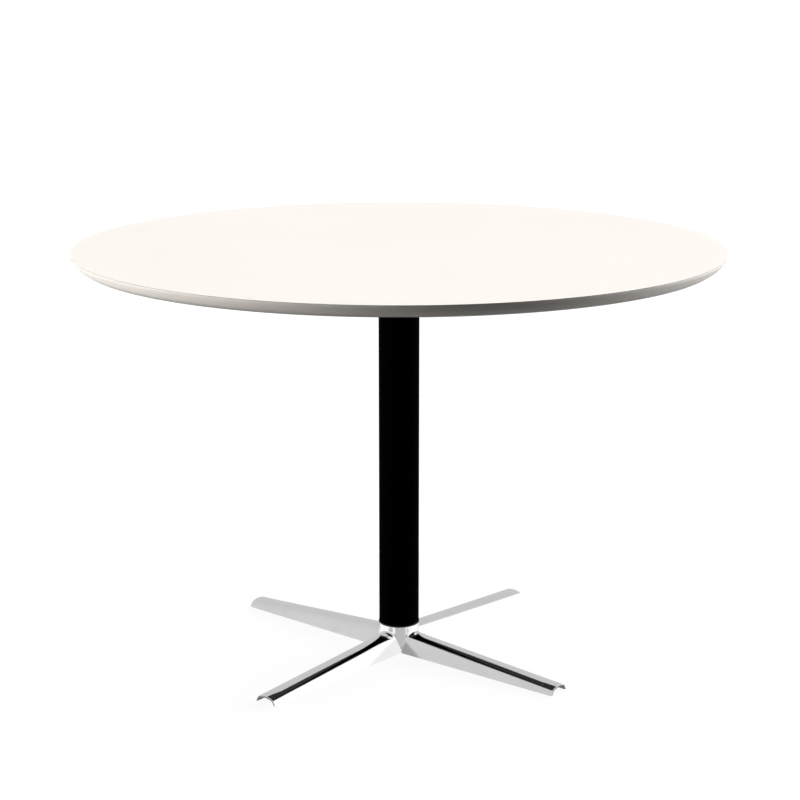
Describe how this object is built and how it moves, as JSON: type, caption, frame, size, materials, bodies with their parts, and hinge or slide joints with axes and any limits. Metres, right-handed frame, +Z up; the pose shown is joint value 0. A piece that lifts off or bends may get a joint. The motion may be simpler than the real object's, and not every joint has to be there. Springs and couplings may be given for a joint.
{
  "type": "pedestal table",
  "caption": "Round pedestal table: white laminate top with an undercut edge, black tube column, polished cast star base, levelling glides.",
  "frame": {"origin": "on the floor under the middle of the column, with the glides resting on z = 0", "axes": "+Z is up along the column; the legs lie on the diagonals between X and Y, and -Y is the front"},
  "size_m": [1.1, 1.1, 0.72],
  "materials": {
    "white_laminate": "smooth satin laminate",
    "edge_lacquer": "fibreboard core, grey lacquered edge",
    "dark_backing": "dark balancing laminate",
    "insert_brass": "turned",
    "black_steel": "black powder coat",
    "column_black": "smooth black powder coat",
    "bare_steel": "turned steel",
    "zinc_steel": "bright zinc plated fasteners",
    "polished_aluminium": "polished casting",
    "black_plastic": "moulded"
  },
  "bodies": {
    "table": {"top_laminate": "white_laminate", "top_core": "edge_lacquer", "backing_sheet": "dark_backing", "threaded_inserts": "insert_brass", "top_spider": "black_steel", "screw_washers": "zinc_steel", "spider_screws": "zinc_steel", "tube_collar": "bare_steel", "rod_boss": "bare_steel", "column_tube": "column_black", "base_plug": "bare_steel", "column_gasket": "black_plastic", "rod_washer": "zinc_steel", "lock_washer": "zinc_steel", "rod_nut": "zinc_steel", "tie_rod": "zinc_steel", "star_base": "polished_aluminium"},
    "pad_right_front": {"glide_pad_right_front": "black_plastic"},
    "stud_right_front": {"glide_stud_right_front": "zinc_steel"},
    "pad_right_back": {"glide_pad_right_back": "black_plastic"},
    "stud_right_back": {"glide_stud_right_back": "zinc_steel"},
    "pad_left_back": {"glide_pad_left_back": "black_plastic"},
    "stud_left_back": {"glide_stud_left_back": "zinc_steel"},
    "pad_left_front": {"glide_pad_left_front": "black_plastic"},
    "stud_left_front": {"glide_stud_left_front": "zinc_steel"}
  },
  "joints": [
    {"name": "lift_right_front", "type": "slide", "parent": "table", "child": "pad_right_front", "axis": [0, 0, -1], "range_m": [0, 0.004]},
    {"name": "turn_right_front", "type": "hinge", "parent": "pad_right_front", "child": "stud_right_front", "pos_m": [0.21213, -0.21213, 0.005], "axis": [0, 0, -1], "range_deg": [0, 1152]},
    {"name": "lift_right_back", "type": "slide", "parent": "table", "child": "pad_right_back", "axis": [0, 0, -1], "range_m": [0, 0.004]},
    {"name": "turn_right_back", "type": "hinge", "parent": "pad_right_back", "child": "stud_right_back", "pos_m": [0.21213, 0.21213, 0.005], "axis": [0, 0, -1], "range_deg": [0, 1152]},
    {"name": "lift_left_back", "type": "slide", "parent": "table", "child": "pad_left_back", "axis": [0, 0, -1], "range_m": [0, 0.004]},
    {"name": "turn_left_back", "type": "hinge", "parent": "pad_left_back", "child": "stud_left_back", "pos_m": [-0.21213, 0.21213, 0.005], "axis": [0, 0, -1], "range_deg": [0, 1152]},
    {"name": "lift_left_front", "type": "slide", "parent": "table", "child": "pad_left_front", "axis": [0, 0, -1], "range_m": [0, 0.004]},
    {"name": "turn_left_front", "type": "hinge", "parent": "pad_left_front", "child": "stud_left_front", "pos_m": [-0.21213, -0.21213, 0.005], "axis": [0, 0, -1], "range_deg": [0, 1152]}
  ],
  "couplings": [
    {"joint": "turn_right_front", "follows": "lift_right_front", "rad_per_m": 5026.5},
    {"joint": "turn_right_back", "follows": "lift_right_back", "rad_per_m": 5026.5},
    {"joint": "turn_left_back", "follows": "lift_left_back", "rad_per_m": 5026.5},
    {"joint": "turn_left_front", "follows": "lift_left_front", "rad_per_m": 5026.5}
  ]
}
